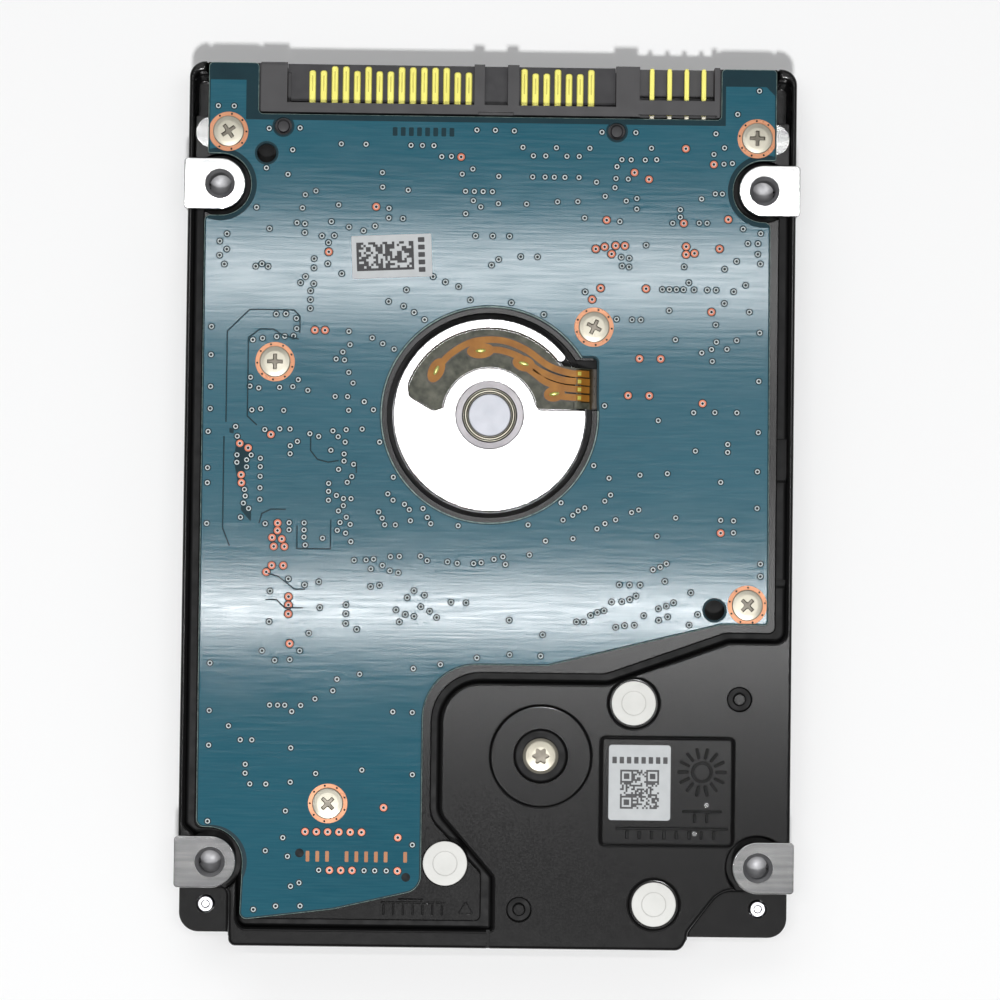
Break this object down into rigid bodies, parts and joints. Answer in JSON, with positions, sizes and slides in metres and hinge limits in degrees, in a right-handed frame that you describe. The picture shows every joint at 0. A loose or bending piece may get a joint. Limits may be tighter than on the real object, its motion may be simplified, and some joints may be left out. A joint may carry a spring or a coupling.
{
  "type": "hard disk drive",
  "caption": "Small-form-factor hard disk drive: die-cast base, pressed cover, circuit board, edge connector, spindle with platter and swinging head actuator.",
  "frame": {"origin": "under the middle of the drive, on the plane of the cover's outer face", "axes": "+Z from the cover to the board side, +Y to the connector end, +X to the right seen from the board side"},
  "size_m": [0.0698, 0.1, 0.0095],
  "materials": {
    "coated": "satin black electro-coat",
    "bare": "fine machined",
    "steel": "satin",
    "cover": "satin pressed sheet",
    "board": "satin solder mask",
    "black_plastic": "moulded",
    "gold": "plated",
    "nickel": "plated",
    "paper": "matte sheet",
    "foam": "matte foam",
    "chip": "moulded epoxy",
    "polyimide": "flexible film",
    "copper": "enamelled wire",
    "mirror": "polished",
    "magnet": "nickel plated",
    "resin": "moulded resin",
    "felt": "non-woven",
    "rubber": "matte"
  },
  "bodies": {
    "root": {"base_casting": "coated", "top_cover": "cover", "cover_gasket": "rubber", "cover_label": "paper", "cover_screw_1": "steel", "cover_screw_2": "steel", "cover_screw_3": "steel", "cover_screw_4": "steel", "cover_screw_5": "steel", "cover_screw_6": "steel", "pivot_cover_screw": "steel", "circuit_board": "board", "board_insulator": "foam", "board_screw_1": "nickel", "board_screw_2": "nickel", "board_screw_3": "nickel", "board_screw_4": "nickel", "board_screw_5": "nickel", "board_screw_6": "nickel", "controller_chip": "chip", "memory_chip": "chip", "motor_driver_chip": "chip", "connector_housing": "black_plastic", "power_contacts": "gold", "signal_contacts": "gold", "jumper_pins": "gold", "board_label": "paper", "base_label": "paper", "seal_disc_1": "paper", "seal_disc_2": "paper", "seal_disc_3": "paper", "pivot_screw": "nickel", "pivot_shaft": "steel", "motor_bracket": "bare", "motor_flex": "polyimide", "stator_core": "steel", "stator_windings": "copper", "bearing_sleeve": "steel", "bearing_cap": "steel", "yoke_lower": "steel", "yoke_upper": "steel", "drive_magnet": "magnet", "crash_stop": "rubber", "load_ramp": "resin", "recirculation_filter": "felt", "desiccant": "felt", "flex_connector": "black_plastic", "flex_ribbon": "polyimide"},
    "spindle": {"hub": "steel", "rotor_magnet": "magnet", "platter": "mirror", "disc_clamp": "steel", "clamp_screw": "nickel"},
    "actuator": {"arm_block": "bare", "pivot_sleeve": "steel", "voice_coil": "copper", "suspension_1": "steel", "suspension_2": "steel", "preamp_chip": "chip"},
    "latch": {"inertial_latch": "resin"}
  },
  "joints": [
    {"name": "spindle_spin", "type": "hinge", "parent": "root", "child": "spindle", "pos_m": [0, 0.0102, 0.0035], "axis": [0, 0, 1], "continuous": true},
    {"name": "actuator_swing", "type": "hinge", "parent": "root", "child": "actuator", "pos_m": [0.00625, -0.0283, 0.0035], "axis": [0, 0, 1], "range_deg": [-36, 0]},
    {"name": "latch_swing", "type": "hinge", "parent": "root", "child": "latch", "pos_m": [0.0243, -0.0386, 0.0035], "axis": [0, 0, 1], "range_deg": [-6, 0]}
  ]
}
